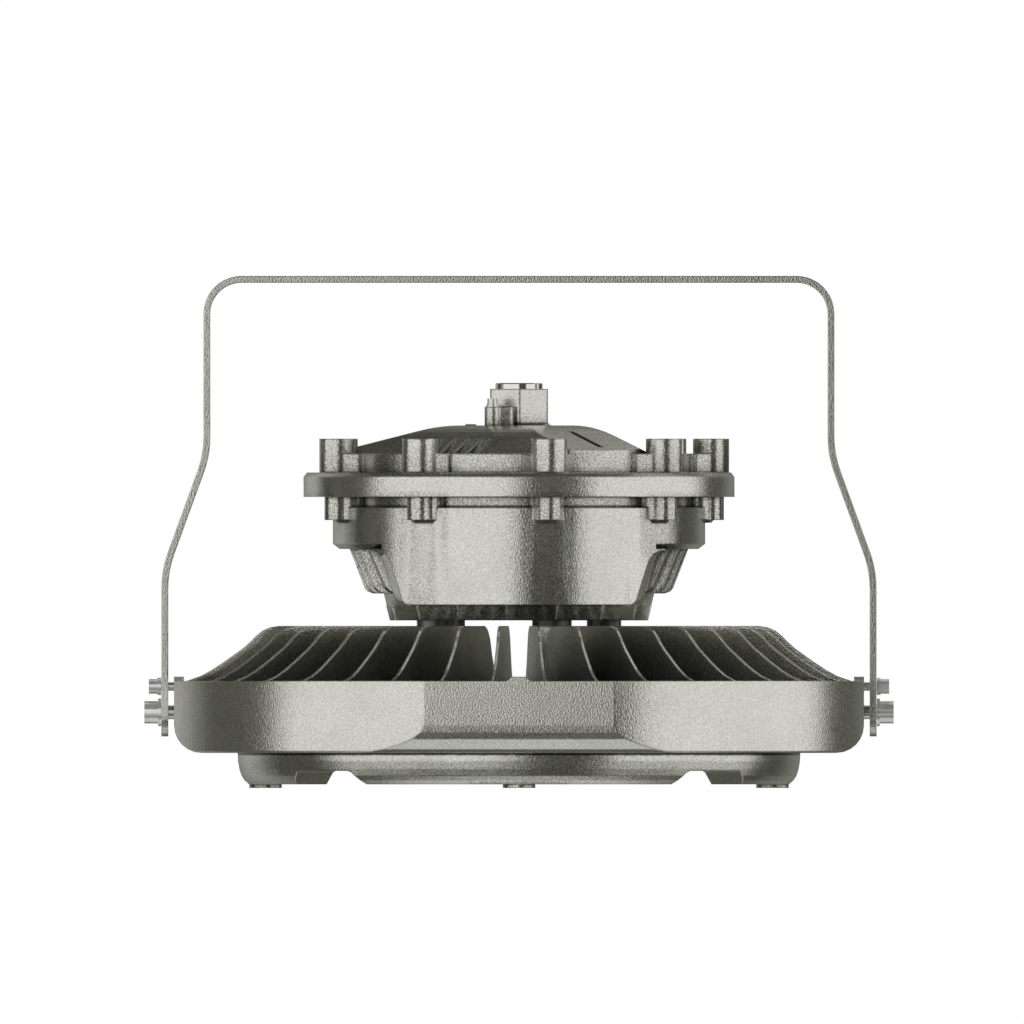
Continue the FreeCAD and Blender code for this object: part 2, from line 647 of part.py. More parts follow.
# Drafted flanks of the aprons, which widen the windows towards the outside.
turn_r = quantity("flank_turn_r")
lower_turn = [(42, az - 12), (42, az - 8.6)]
for degrees in (0, 23, 46, 69):
    a = math.radians(degrees)
    lower_turn.append((59.5 + turn_r * math.sin(a), az - 8.6 + turn_r * (1 - math.cos(a))))
for side in (1, -1):
    tag = "Front" if side > 0 else "Rear"
    s = sketch(house, "Flank" + tag, "XZ_Plane", quantity("flank_y") * side)
    polygon(s, tuple(lower_turn) + upper_end)
    flank = pocket(house, s, "FlankCut" + tag, "flank_run", False, side > 0)
    flank.TaperAngle = 17.0
    windows.append(flank)
polar(house, windows, "Windows", 2)
s = sketch(house, "ShoulderEdge", "XZ_Plane")
polygon(s, (
    ("shoulder_low_r", sz), ("shoulder_r", "shoulder_cham_z"), (outer, "shoulder_cham_z"),
    (outer, sz - 0.01), ("shoulder_low_r", sz - 0.01)))
chamfer = revolve(house, s, "ShoulderChamfer", True)
chamfer.Angle = 85.0
chamfer.Midplane = True
polar(house, [chamfer], "ShoulderChamfers", 2)
# Parallel cooling plates in the windows: their common outline, then the spaces between them.
s = sketch(house, "PlateOutline", "XZ_Plane")
fz = quantity("side_fin_z")
fr = quantity("side_fin_r")
polygon(s, (
    (70, az - 5), (outer, az - 5), (outer, sz), (fr, sz), (fr - 8.6, fz + 3.4),
    (fr - 10.4, fz + 1.2), (fr - 13.5, fz), (70, fz)))
envelope = revolve(house, s, "PlateEnvelope", True)
envelope.Angle = 68.0
envelope.Midplane = True
polar(house, [envelope], "PlateEnvelopes", 2)
s = sketch(house, "PlateFloor", "XY_Plane", az - 1)
rectangle(s, "side_fin_x", outer, -quantity("plate_reach"), "plate_reach")
floor_cut = pocket(house, s, "PlateFloorCut", fz - az + 1, False, True)
polar(house, [floor_cut], "PlateFloors", 2)
s = sketch(house, "PlateSpaces", "XY_Plane", az - 1)
pitch = quantity("side_fin_gap") + "side_fin_t"
for k in range(7):
    start = -quantity("plate_reach") + "side_fin_t" + pitch * k
    rectangle(s, 71, outer, start, start + "side_fin_gap")
spaces = pocket(house, s, "PlateSpacesCut", sz - az + 1, False, True)
polar(house, [spaces], "AllPlateSpaces", 2)
s = sketch(house, "CoreProfile", "XZ_Plane")
polygon(s, (
    (0, "house_z"), ("core_low_r", "house_z"), ("core_mid_r", "core_mid_z"),
    ("core_top_r", sz + 1), (0, sz + 1)))
revolve(house, s, "Core")

# Bolt bosses under the flange; the first is 9 degrees right of the front.
first_bolt = math.radians(9 - 90)
bolt_x = quantity("bolt_pcr") * math.cos(first_bolt)
bolt_y = quantity("bolt_pcr") * math.sin(first_bolt)
s = sketch(house, "LowBossPlan", "XY_Plane", "low_boss_z")
circle(s, bolt_x, bolt_y, "low_boss_r")
low_boss = pad(house, s, "LowBoss", quantity("flange_low_z") - "low_boss_z" + 1)
inner = quantity("bolt_pcr") - "skirt_in"
foot_z = quantity("low_boss_z") - "skirt_drop"
s = sketch(house, "SkirtPlan", "XY_Plane", foot_z + "skirt_foot")
circle(s, inner * math.cos(first_bolt), inner * math.sin(first_bolt), "skirt_r")
skirt = pad(house, s, "Skirt", quantity("flange_low_z") - foot_z)
s = sketch(house, "SkirtFootPlan", "XY_Plane", foot_z + "skirt_foot")
circle(s, inner * math.cos(first_bolt), inner * math.sin(first_bolt), "skirt_r")
skirt_foot = pad(house, s, "SkirtFoot", "skirt_foot", False, True)
skirt_foot.TaperAngle = -45.0
polar(house, [low_boss, skirt, skirt_foot], "LowBosses", "bolt_n")

# The inside of the bowl, its seal groove and its threads.
s = sketch(house, "CavityProfile", "XZ_Plane")
polygon(s, (
    (0, "cav_floor_z"), ("cav_low_r", "cav_floor_z"), ("cav_mid_r", "cav_mid_z"),
    ("cav_r", "cav_step_z"), ("cav_r", quantity("joint_z") + 1),
    (0, quantity("joint_z") + 1)))
revolve(house, s, "Cavity", True)
s = sketch(house, "SealGroove", "XZ_Plane")
rectangle(s, "seal_in_r", "seal_out_r", quantity("joint_z") - "seal_t",
          quantity("joint_z") + 1)
revolve(house, s, "SealGrooveCut", True)
s = sketch(house, "BoltThreadPlan", "XY_Plane", "joint_z")
circle(s, bolt_x, bolt_y, quantity("bolt_r") + "fit")
bolt_bore = pocket(house, s, "BoltBore", quantity("joint_z") - "bolt_hole_z")
polar(house, [bolt_bore], "BoltBores", "bolt_n")
s = sketch(house, "FloorHoles", "XY_Plane", "cav_floor_z")
circle(s, "post_far_x", "post_far_y", quantity("post_thread_r") + "hole_gap")
circle(s, -quantity("post_far_x"), -quantity("post_far_y"),
       quantity("post_thread_r") + "hole_gap")
circle(s, -quantity("post_rear_x"), "post_rear_y", quantity("post_thread_r") + "hole_gap")
circle(s, "nip_x", -quantity("nip_y"), quantity("nip_thread_r") + "hole_gap")
pocket(house, s, "FloorHolesCut", quantity("cav_floor_z") - "house_z" + 1)
node("driver_housing", house, "Driver housing bowl")

seal = tube("CoverSeal", quantity("seal_out_r"), quantity("seal_in_r"),
            quantity("joint_z") - "seal_t", "seal_t")
node("cover_gasket", seal, "Seal ring between housing and cover")

# Driver cover: flange, drum, sloped top, ribs, bolt shrouds, entry.
cover = body("DriverCover")
s = sketch(cover, "CoverProfile", "XZ_Plane")
polygon(s, (
    (0, "joint_z"), ("flange_r", "joint_z"),
    ("flange_r", quantity("flange_top_z") - "flange_cham"),
    (quantity("flange_r") - "flange_cham_r", "flange_top_z"), ("drum_r", "flange_top_z"),
    ("drum_r", "top_z"), (0, "top_z")))
revolve(cover, s, "CoverTurned")

# Three long gentle ramps, the first to the left, and three steeper faces between them, each
# rounded into the flat top.
def rounded_start(side, start, fall):
    """Points that bend from the flat top into a slope."""
    reach = quantity("top_round")
    points = []
    for k in range(6):
        t = reach * (2 * k / 5.0)
        points.append((
            side * (quantity(start) - reach + t),
            quantity("top_z") - fall * (t * t / (reach * 4))))
    return points


s = sketch(cover, "RampCut", "XZ_Plane")
far = quantity("drum_r") + 8
wing = quantity("wing_s")
over = quantity("top_z") + 5
polygon(s, tuple(rounded_start(-1, "wing_s", quantity("wing_fall")) + [
    (-far, quantity("top_z") - (far - wing) * "wing_fall"), (-far, over),
    (-wing + "top_round", over)]))
ramp = pocket(cover, s, "Ramp", quantity("drum_r") * 2.2, True)
polar(cover, [ramp], "Ramps", 3)
s = sketch(cover, "FaceCut", "XZ_Plane")
face = quantity("face_s")
face_end = face + (quantity("top_z") - "floor_z") / "face_fall"
polygon(s, tuple(rounded_start(1, "face_s", quantity("face_fall")) + [
    (face_end, "floor_z"), (far, "floor_z"), (far, over), (face - "top_round", over)]))
face_cut = pocket(cover, s, "Face", quantity("drum_r") * 2.2, True)
polar(cover, [face_cut], "Faces", 3)

# Slots that leave thin parallel ribs in each steep face.
pitch = quantity("slot_w") + "rib_t"
slots = []
for k in range(5):
    s = sketch(cover, "SlotOutline%d" % k, "XZ_Plane", pitch * k - "slot_first_t")
    polygon(s, (
        ("slot_s", quantity("top_z") - (quantity("slot_s") - face) * "face_fall"),
        (quantity("slot_s") + "slot_run", "floor_z"), (face_end + 1, "floor_z"),
        (face_end + 1, over), ("slot_s", over)))
    slots.append(pocket(cover, s, "Slot%d" % k, "slot_w", True))
polar(cover, slots, "AllSlots", 3)

# A narrow groove along the middle of each ramp.
s = sketch(cover, "RampGroove", "XZ_Plane")
g_in = quantity("groove_in_s")
g_out = quantity("groove_out_s")
z_in = quantity("top_z") - (g_in - wing) * "wing_fall"
z_out = quantity("top_z") - (g_out - wing) * "wing_fall"
polygon(s, (
    (-g_in, z_in - "groove_d"), (-g_out, z_out - "groove_d"), (-g_out, z_out + 4),
    (-g_in, z_in + 4)))
groove = pocket(cover, s, "Groove", "groove_w", True)
polar(cover, [groove], "Grooves", 3)

# Shrouded bolt bosses with webs to the drum.
s = sketch(cover, "WebPlan", "XY_Plane", quantity("flange_top_z") - 1)
web = quantity("web_w") / 2
rim = quantity("bolt_pcr")
ux = math.cos(first_bolt)
uy = math.sin(first_bolt)
polygon(s, (
    ((rim - 18) * ux - web * uy, (rim - 18) * uy + web * ux),
    ((rim - 18) * ux + web * uy, (rim - 18) * uy - web * ux),
    ((rim - 8) * ux + web * uy, (rim - 8) * uy - web * ux),
    ((rim + 2) * ux + (web - 5) * uy, (rim + 2) * uy - (web - 5) * ux),
    ((rim + 2) * ux - (web - 5) * uy, (rim + 2) * uy + (web - 5) * ux),
    ((rim - 8) * ux - web * uy, (rim - 8) * uy + web * ux)))
web_pad = pad(cover, s, "Web", quantity("floor_z") - "flange_top_z" + 1)
s = sketch(cover, "BossPlan", "XY_Plane", quantity("flange_top_z") - 1)
circle(s, bolt_x, bolt_y, "boss_r")
boss = pad(cover, s, "Boss", quantity("boss_top_z") - "flange_top_z" + 1)
polar(cover, [web_pad, boss], "Bosses", "bolt_n")

# Hexagonal cable entry with a corner to the front, earth boss and a cast dot.
s = sketch(cover, "EntryPlan", "XY_Plane", quantity("top_z") - 1)
corner = quantity("hex_flats") / math.sqrt(3)
hexagon = []
for k in range(6):
    a = math.radians(60 * k + 30)
    hexagon.append((corner * math.cos(a), corner * math.sin(a)))
polygon(s, tuple(hexagon))
pad(cover, s, "Entry", quantity("hex_top_z") - "top_z" + 1)
doc.recompute()
round_edges(cover, "EntryEdges", upright_edges(cover, corner.number, value["hex_top_z"]),
            "entry_edge_r")
round_edges(cover, "EntryFoot", ring_edges(cover, corner.number + 1, value["top_z"]),
            "entry_foot_r")

# Earth boss in front of the entry, with a web between them.
s = sketch(cover, "EarthPlan", "XY_Plane", quantity("top_z") - 1)
circle(s, -quantity("earth_x"), -quantity("earth_y"), "earth_boss_r")
pad(cover, s, "EarthBoss", quantity("earth_top_z") - "top_z" + 1)
s = sketch(cover, "EarthWebPlan", "XY_Plane", quantity("top_z") - 1)
web_x = -quantity("earth_web_x")
web_y = -quantity("earth_y")
polygon(s, (
    (-quantity("earth_x"), web_y), (-quantity("earth_x") + 4, web_y - 2.2),
    (web_x - 1.8, web_y - 0.4), (web_x - 0.5, web_y + 0.4), (web_x, web_y + 1.9),
    (web_x, -corner + 3), (-quantity("earth_x"), -corner / 2)))
pad(cover, s, "EarthWeb", quantity("earth_top_z") - "top_z" + 1)
s = sketch(cover, "MarkPlan", "XY_Plane", quantity("top_z") - 1)
circle(s, -quantity("mark_s"), 0, "mark_r")
pad(cover, s, "Mark", quantity("mark_h") + 1)

# The inside of the cover, and its holes.
s = sketch(cover, "CoverCavity", "XZ_Plane")
polygon(s, (
    (0, quantity("joint_z") - 1), ("cav_r", quantity("joint_z") - 1),
    ("cav_r", quantity("floor_z") - 4), (50, quantity("floor_z") - 4),
    (30, quantity("top_z") - 5), (0, quantity("top_z") - 5)))
revolve(cover, s, "CoverCavityCut", True)
s = sketch(cover, "HeadPlan", "XY_Plane", "boss_top_z")
circle(s, bolt_x, bolt_y, "boss_bore_r")
head_bore = pocket(cover, s, "HeadBore", quantity("boss_top_z") - "boss_seat_z")
s = sketch(cover, "BoltPlan", "XY_Plane", "boss_top_z")
circle(s, bolt_x, bolt_y, quantity("bolt_r") + "hole_gap")
bolt_hole = pocket(cover, s, "BoltHole", quantity("boss_top_z") - "joint_z" + 1)
polar(cover, [head_bore, bolt_hole], "BoltHoles", "bolt_n")
s = sketch(cover, "EntryHole", "XY_Plane", "hex_top_z")
circle(s, 0, 0, quantity("entry_r") + "fit")
pocket(cover, s, "EntryBore", quantity("hex_top_z") - "top_z" + 6)
s = sketch(cover, "EarthHole", "XY_Plane", "earth_top_z")
circle(s, -quantity("earth_x"), -quantity("earth_y"), quantity("earth_r") + "fit")
pocket(cover, s, "EarthBore", "earth_depth")
node("driver_cover", cover, "Driver cover")

# Cable gland: a nickel ring with a threaded spigot and a rubber seal.
gland = body("GlandRing")
s = sketch(gland, "GlandProfile", "XZ_Plane")
gz = quantity("hex_top_z") + "gland_h"
polygon(s, (
    ("gland_bore_r", "gland_low_z"), ("entry_r", "gland_low_z"), ("entry_r", "hex_top_z"),
    ("gland_r", "hex_top_z"), ("gland_r", gz - 0.6), (quantity("gland_r") - 0.6, gz),
    ("gland_bore_r", gz)))
revolve(gland, s, "GlandTurned")
node("gland_ring", gland, "Nickel cable gland ring")
gland_seal = tube("GlandSeal", "gland_bore_r", "cable_r", quantity("gland_low_z") + 2,
                  gz - "gland_low_z" - 3)
node("gland_seal", gland_seal, "Rubber cable seal")

# Cover bolts in their shrouds, on spring washers.
bolts = []
washers = []
for k in range(int(value["bolt_n"])):
    a = first_bolt + 2 * math.pi * k / value["bolt_n"]
    bx = quantity("bolt_pcr") * math.cos(a)
    by = quantity("bolt_pcr") * math.sin(a)
    seat = quantity("boss_seat_z") + "washer_t"
    bolts.append(cap_screw(
        "CoverBolt%d" % k, bx, by, seat, "head_r", "head_h", "bolt_r",
        seat - "bolt_hole_z", "socket_flats", "socket_d"))
    disc = cylinder("CoverDisc%d" % k, "washer_r", "washer_t", bx, by, "boss_seat_z")
    hole = cylinder("CoverDiscHole%d" % k, quantity("bolt_r") + "hole_gap",
                    quantity("washer_t") + 2, bx, by, quantity("boss_seat_z") - 1)
    washers.append(cut("CoverWasher%d" % k, disc, hole))
node("cover_bolts", group("CoverBolts", bolts), "Cover socket-head bolts")
node("cover_washers", group("CoverWashers", washers), "Cover bolt washers")

# Earth screw on a flat washer and a spring washer.
ex = -quantity("earth_x")
ey = -quantity("earth_y")
rise = quantity("earth_top_z")
for name, r, thick, label in (
        ("earth_washer", 3.7, 0.8, "Earth screw washer"),
        ("earth_spring_washer", 3.3, 1.0, "Earth screw spring washer")):
    disc = cylinder(name + "_disc", r, thick, ex, ey, rise)
    hole = cylinder(name + "_hole", quantity("earth_r") + "hole_gap", thick + 2, ex, ey,
                    rise - 1)
    node(name, cut(name + "_ring", disc, hole), label)
    rise = rise + thick
node("earth_screw", cap_screw(
    "EarthScrew", ex, ey, rise, 3.0, 3.0, "earth_r", rise - "earth_top_z" + "earth_depth",
    2.5, 1.5), "Earth screw")

# Spacers, screws and nipple that hold the housing over the heat sink.
spacers = []
screws = []
places = (
    (quantity("post_far_x"), quantity("post_far_y")),
    (-quantity("post_far_x"), -quantity("post_far_y")),
    (-quantity("post_rear_x"), quantity("post_rear_y")))
gap = quantity("house_z") - "fin_top_z"
for k, place in enumerate(places):
    disc = cylinder("SpacerDisc%d" % k, "post_r", gap, place[0], place[1], "fin_top_z")
    hole = cylinder("SpacerHole%d" % k, quantity("post_thread_r") + "hole_gap", gap + 2,
                    place[0], place[1], quantity("fin_top_z") - 1)
    spacers.append(cut("Spacer%d" % k, disc, hole))
    screws.append(cap_screw(
        "PostScrew%d" % k, place[0], place[1], "cav_floor_z", "post_head_r", "post_head_h",
        "post_thread_r", quantity("cav_floor_z") - "post_screw_low_z", 5.0, 3.0))
node("housing_spacers", group("Spacers", spacers), "Housing spacers")
node("housing_screws", group("PostScrews", screws), "Housing screws")

nipple = body("Nipple")
s = sketch(nipple, "NippleProfile", "XZ_Plane")
polygon(s, (
    ("nip_bore_r", "nip_low_z"), ("nip_thread_r", "nip_low_z"), ("nip_thread_r", "fin_top_z"),
    ("nip_r", "fin_top_z"), ("nip_r", "house_z"), ("nip_thread_r", "house_z"),
    ("nip_thread_r", "nip_up_z"), ("nip_bore_r", "nip_up_z")))
revolve(nipple, s, "NippleTurned")
placed(nipple, "nip_x", -quantity("nip_y"), 0)
node("cable_nipple", nipple, "Threaded cable nipple")
nut = prism("NutHex", "nut_flats", "nut_h", "nip_x", -quantity("nip_y"), "cav_floor_z")
hole = cylinder("NutHole", quantity("nip_thread_r") + "fit", quantity("nut_h") + 2, "nip_x",
                -quantity("nip_y"), quantity("cav_floor_z") - 1)
node("nipple_nut", cut("NippleNut", nut, hole), "Nipple lock nut")

# Driver unit on its plate and pillars, with its terminal block.
pillars = []
screws = []
top_plate = quantity("cav_floor_z") + "stand_h"
corners = []
for sx in (-1, 1):
    for sy in (-1, 1):
        corners.append((quantity("stand_x") * sx, quantity("stand_y") * sy))
for k, place in enumerate(corners):
    post = cylinder("Pillar%d" % k, "stand_r", "stand_h", place[0], place[1], "cav_floor_z")
    hole = cylinder("PillarHole%d" % k, quantity("m4_r") + "fit", "stand_h", place[0],
                    place[1], quantity("cav_floor_z") + 2)
    pillars.append(cut("Pillar%dBored" % k, post, hole))
    screws.append(cap_screw(
        "PlateScrew%d" % k, place[0], place[1], top_plate + "dplate_t", "m4_head_r",
        "m4_head_h", "m4_r", quantity("dplate_t") + "stand_h" - 2, 2.5, 1.5))
node("driver_pillars", group("Pillars", pillars), "Driver plate pillars")
node("driver_screws", group("PlateScrews", screws), "Driver plate screws")
dplate = body("DriverPlate")
s = sketch(dplate, "DriverPlatePlan", "XY_Plane", top_plate)
rectangle(s, -quantity("dplate_x") / 2, quantity("dplate_x") / 2, -quantity("dplate_y") / 2,
          quantity("dplate_y") / 2)
for place in corners:
    circle(s, place[0], place[1], quantity("m4_r") + "hole_gap")
pad(dplate, s, "DriverPlateUp", "dplate_t")
node("driver_plate", dplate, "Driver mounting plate")
unit_z = top_plate + "dplate_t"
unit = box("DriverUnit", "unit_x", "unit_y", "unit_h", -quantity("unit_x") / 2,
           -quantity("unit_y") / 2, unit_z)
node("driver_unit", unit, "Potted LED driver")
terminal = box("TerminalBlock", "term_x", "term_y", "term_h", -quantity("term_x") / 2,
               -quantity("term_y") / 2, unit_z + "unit_h")
node("terminal_block", terminal, "Terminal block")

# Yoke: one bent strip with pivot holes, arc slots and hanging holes.
yoke = body("Yoke")
s = sketch(yoke, "YokeOutline", "XZ_Plane")
strip_up = quantity("yoke_up_x")
strip_low = quantity("yoke_low_x")
yt = quantity("yoke_t")
bt = quantity("yoke_bend_top_z")
bl = quantity("yoke_bend_low_z")
shift = yt * 0.176
right = (
    (strip_low, "yoke_end_z"), (strip_low, bl), (strip_up, bt), (strip_up, "yoke_top_z"))
right_in = (
    (strip_low - yt, "yoke_end_z"), (strip_low - yt, bl - shift), (strip_up - yt, bt - shift),
    (strip_up - yt, quantity("yoke_top_z") - yt))
outline = list(right_in) + [(-p[0], p[1]) for p in reversed(right_in)]
outline += [(-quantity(p[0]), p[1]) for p in right] + list(reversed(right))
polygon(s, tuple(outline))
pad(yoke, s, "YokeStrip", "yoke_w", True)
doc.recompute()


round_edges(yoke, "CornerInner", edges_at(yoke, (
    (strip_up.number - 4, value["yoke_top_z"] - 4),)), quantity("yoke_corner_r") - yt)
round_edges(yoke, "CornerOuter", edges_at(yoke, (
    (strip_up.number, value["yoke_top_z"]),)), "yoke_corner_r")
round_edges(yoke, "BendOuter", edges_at(yoke, (
    (strip_up.number, bt.number), (strip_low.number - 4, (bl - shift).number))), "yoke_bend_r")
round_edges(yoke, "BendInner", edges_at(yoke, (
    (strip_up.number - 4, (bt - shift).number), (strip_low.number, bl.number))), "yoke_bend_r")

# Rounded lower ends.
s = sketch(yoke, "EndTrim", "YZ_Plane")
yw = quantity("yoke_w") / 2
er = quantity("yoke_end_r")
ez = quantity("yoke_end_z")
for side in (-1, 1):
    trim = [(yw * side + side * 2, ez - 2), (yw * side + side * 2, ez + er)]
    for k in range(9):
        a = math.pi / 2 * k / 8
        trim.append(((yw - er + er * math.cos(a)) * side, ez + er - er * math.sin(a)))
    trim.append(((yw - er) * side, ez - 2))
    polygon(s, tuple(trim))
pocket(yoke, s, "EndRound", quantity("yoke_low_x") * 2.2, True)

# Pivot holes, and arc slots round them for the lock bolts.
s = sketch(yoke, "PivotHoles", "YZ_Plane")
pz = quantity("pivot_z")
circle(s, 0, pz, quantity("pivot_r") + "pivot_gap")
steps = 12
arc = []
for side in (1, -1):
    for k in range(steps + 1):
        a = math.radians(value["arc_half_deg"]) * (1 - 2.0 * k / steps) * side
        r = quantity("lock_up") + quantity("arc_half_w") * side
        arc.append((r * math.sin(a), pz + r * math.cos(a)))
    a = math.radians(value["arc_half_deg"]) * -side
    for k in range(1, 6):
        turn_end = math.pi * k / 6
        px = quantity("lock_up") * math.sin(a)
        pz_end = pz + quantity("lock_up") * math.cos(a)
        reach = quantity("arc_half_w")
        dx = math.sin(a) * math.cos(turn_end) * side - math.cos(a) * math.sin(turn_end) * side
        dz = math.cos(a) * math.cos(turn_end) * side + math.sin(a) * math.sin(turn_end) * side
        arc.append((px + reach * dx, pz_end + reach * dz))
polygon(s, tuple(arc))
pocket(yoke, s, "PivotHolesCut", quantity("yoke_low_x") * 2.2, True)
s = sketch(yoke, "HangHoles", "XY_Plane", quantity("yoke_top_z") + 1)
circle(s, 0, 0, "hang_r")
circle(s, "side_hang_x", 0, "side_hang_r")
circle(s, -quantity("side_hang_x"), 0, "side_hang_r")
pocket(yoke, s, "HangHolesCut", yt + 2)
node("yoke", yoke, "Tilting yoke")


def side_bolt(name, z, head_r, head_h, shank_r, seat_x, tip_x, flats, deep, side):
    """A socket-head bolt along X, screwed into one side of the heat sink."""
    qz = quantity(z)
    q_seat = quantity(seat_x)
    start = q_seat if side > 0 else -(q_seat + head_h)
    head = cylinder(name + "Head", head_r, head_h, start, 0, qz, 90, (0, 1, 0))
    stem_len = q_seat - tip_x + 1
    stem_x = quantity(tip_x) if side > 0 else -(q_seat + 1)
    stem = cylinder(name + "Stem", shank_r, stem_len, stem_x, 0, qz, 90, (0, 1, 0))
    key_x = q_seat + head_h - deep if side > 0 else -(q_seat + head_h + 1)
    key = prism(name + "Key", flats, quantity(deep) + 1, key_x, 0, qz, 90, (0, 1, 0))
    return cut(name, fuse(name + "Solid", [head, stem]), key)


def side_washer(name, z, r, hole_r, thick, seat_x, side):
    qz = quantity(z)
    q_seat = quantity(seat_x)
    start = q_seat if side > 0 else -(q_seat + thick)
    disc = cylinder(name + "Disc", r, thick, start, 0, qz, 90, (0, 1, 0))
    hole = cylinder(name + "Hole", hole_r, quantity(thick) + 2, start - 1, 0, qz, 90, (0, 1, 0))
    return cut(name, disc, hole)


outer_x = quantity("yoke_low_x") + "washer_gap"
pivots = []
pivot_washers = []
locks = []
lock_washers = []
lock_z = quantity("pivot_z") + "lock_up"
for side in (-1, 1):
    tag = "L" if side < 0 else "R"
    pivots.append(side_bolt(
        "PivotBolt" + tag, "pivot_z", "head_r", "head_h", "pivot_r",
        outer_x + "pivot_washer_t", quantity("flat_d") - "pivot_depth", "socket_flats",
        "socket_d", side))
    pivot_washers.append(side_washer(
        "PivotWasher" + tag, "pivot_z", "pivot_washer_r", quantity("pivot_r") + "hole_gap",
        "pivot_washer_t", outer_x, side))
    locks.append(side_bolt(
        "LockBolt" + tag, lock_z, "lock_head_r", "lock_head_h", "lock_r",
        outer_x + "lock_washer_t", quantity("flat_d") - "lock_depth", 4.0, 2.5, side))
    lock_washers.append(side_washer(
        "LockWasher" + tag, lock_z, "lock_washer_r", quantity("lock_r") + "hole_gap",
        "lock_washer_t", outer_x, side))
node("pivot_bolts", group("PivotBolts", pivots), "Pivot bolts")
node("pivot_washers", group("PivotWashers", pivot_washers), "Pivot washers")
node("lock_bolts", group("LockBolts", locks), "Lock bolts")
node("lock_washers", group("LockWashers", lock_washers), "Lock bolt washers")

doc.recompute()
for item in doc.Objects:
    if "Invalid" in item.State or "Error" in item.State:
        raise RuntimeError("feature failed: " + item.Name)
for name, item in nodes.items():
    shape = item.Shape
    if shape.isNull() or not shape.isValid():
        raise RuntimeError("bad shape: " + name)
    shape.exportStep("parts/" + name + ".step")
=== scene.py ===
import math

import bpy
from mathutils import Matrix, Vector


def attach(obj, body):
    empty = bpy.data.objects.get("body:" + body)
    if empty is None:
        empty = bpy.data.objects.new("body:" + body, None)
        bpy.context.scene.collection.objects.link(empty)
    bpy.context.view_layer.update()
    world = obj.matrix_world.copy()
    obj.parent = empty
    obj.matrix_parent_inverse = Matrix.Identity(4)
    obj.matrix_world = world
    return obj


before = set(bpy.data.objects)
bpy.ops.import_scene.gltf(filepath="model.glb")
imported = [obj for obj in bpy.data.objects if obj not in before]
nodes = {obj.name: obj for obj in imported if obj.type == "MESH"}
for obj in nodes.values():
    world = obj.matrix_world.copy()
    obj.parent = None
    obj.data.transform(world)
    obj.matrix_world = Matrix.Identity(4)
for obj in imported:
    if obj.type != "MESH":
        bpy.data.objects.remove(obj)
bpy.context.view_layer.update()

MM = 0.001


# Shader nodes.

# Most of a noise texture's values lie between these two.
NOISE_LOW = 0.3
NOISE_HIGH = 0.7
# Rays that a bevel or an occlusion node casts.
NODE_RAYS = 6


def new_material(name):
    """An empty node material with a Principled shader."""
    mat = bpy.data.materials.new(name)
    mat.use_nodes = True
    tree = mat.node_tree
    tree.nodes.clear()
    out = tree.nodes.new("ShaderNodeOutputMaterial")
    shader = tree.nodes.new("ShaderNodeBsdfPrincipled")
    tree.links.new(shader.outputs["BSDF"], out.inputs["Surface"])
    return mat, tree, shader


def typed(sockets, name, kind):
    """The socket of this name and type, on a mix node that has one for each type."""
    return next(s for s in sockets if s.name == name and s.type == kind)


def feed(tree, value, place):
    """Link a socket to an input, or write a plain value there."""
    if isinstance(value, bpy.types.NodeSocket):
        tree.links.new(value, place)
    else:
        place.default_value = value


def object_coords(tree, stretch=(1, 1, 1)):
    """Places on the object in metres, scaled along each axis."""
    coord = tree.nodes.new("ShaderNodeTexCoord")
    mapping = tree.nodes.new("ShaderNodeMapping")
    mapping.inputs["Scale"].default_value = stretch
    tree.links.new(coord.outputs["Object"], mapping.inputs["Vector"])
    return mapping.outputs["Vector"]


def object_height(tree):
    """Places on the object and their height over the floor."""
    coord = tree.nodes.new("ShaderNodeTexCoord")
    axes = tree.nodes.new("ShaderNodeSeparateXYZ")
    tree.links.new(coord.outputs["Object"], axes.inputs["Vector"])
    return coord.outputs["Object"], axes.outputs["Z"]


def noise(tree, vector, scale, detail=2.0, rough=0.5):
    """A cloudy value about 0.5."""
    node = tree.nodes.new("ShaderNodeTexNoise")
    node.inputs["Scale"].default_value = scale
    node.inputs["Detail"].default_value = detail
    node.inputs["Roughness"].default_value = rough
    tree.links.new(vector, node.inputs["Vector"])
    return node.outputs["Fac"]


def ramp(tree, source, stops):
    """A colour for each value, straight between stops of (value, colour)."""
    node = tree.nodes.new("ShaderNodeValToRGB")
    elements = node.color_ramp.elements
    while len(elements) > len(stops):
        elements.remove(elements[-1])
    while len(elements) < len(stops):
        elements.new(1.0)
    for element, (place, colour) in zip(elements, stops):
        element.position = place
        element.color = (*colour, 1.0)
    tree.links.new(source, node.inputs["Fac"])
    return node.outputs["Color"]


def span(tree, source, low, high, to_low, to_high):
    """A value taken from one range to another, and held beyond its ends."""
    node = tree.nodes.new("ShaderNodeMapRange")
    node.inputs["From Min"].default_value = low
    node.inputs["From Max"].default_value = high
    node.inputs["To Min"].default_value = to_low
    node.inputs["To Max"].default_value = to_high
    tree.links.new(source, node.inputs["Value"])
    return node.outputs["Result"]


def calc(tree, operation, first, second=0.0):
    """A math node of two values, each a socket or a number."""
    node = tree.nodes.new("ShaderNodeMath")
    node.operation = operation
    feed(tree, first, node.inputs[0])
    feed(tree, second, node.inputs[1])
    return node.outputs["Value"]


def blend(tree, kind, factor, first, second, mode="MIX"):
    """A blend of two colours, kind RGBA, or of two vectors, kind VECTOR."""
    node = tree.nodes.new("ShaderNodeMix")
    node.data_type = kind
    node.blend_type = mode
    feed(tree, factor, typed(node.inputs, "Factor", "VALUE"))
    for letter, value in (("A", first), ("B", second)):
        if isinstance(value, tuple):
            value = (*value, 1.0)
        feed(tree, value, typed(node.inputs, letter, kind))
    return typed(node.outputs, "Result", kind)


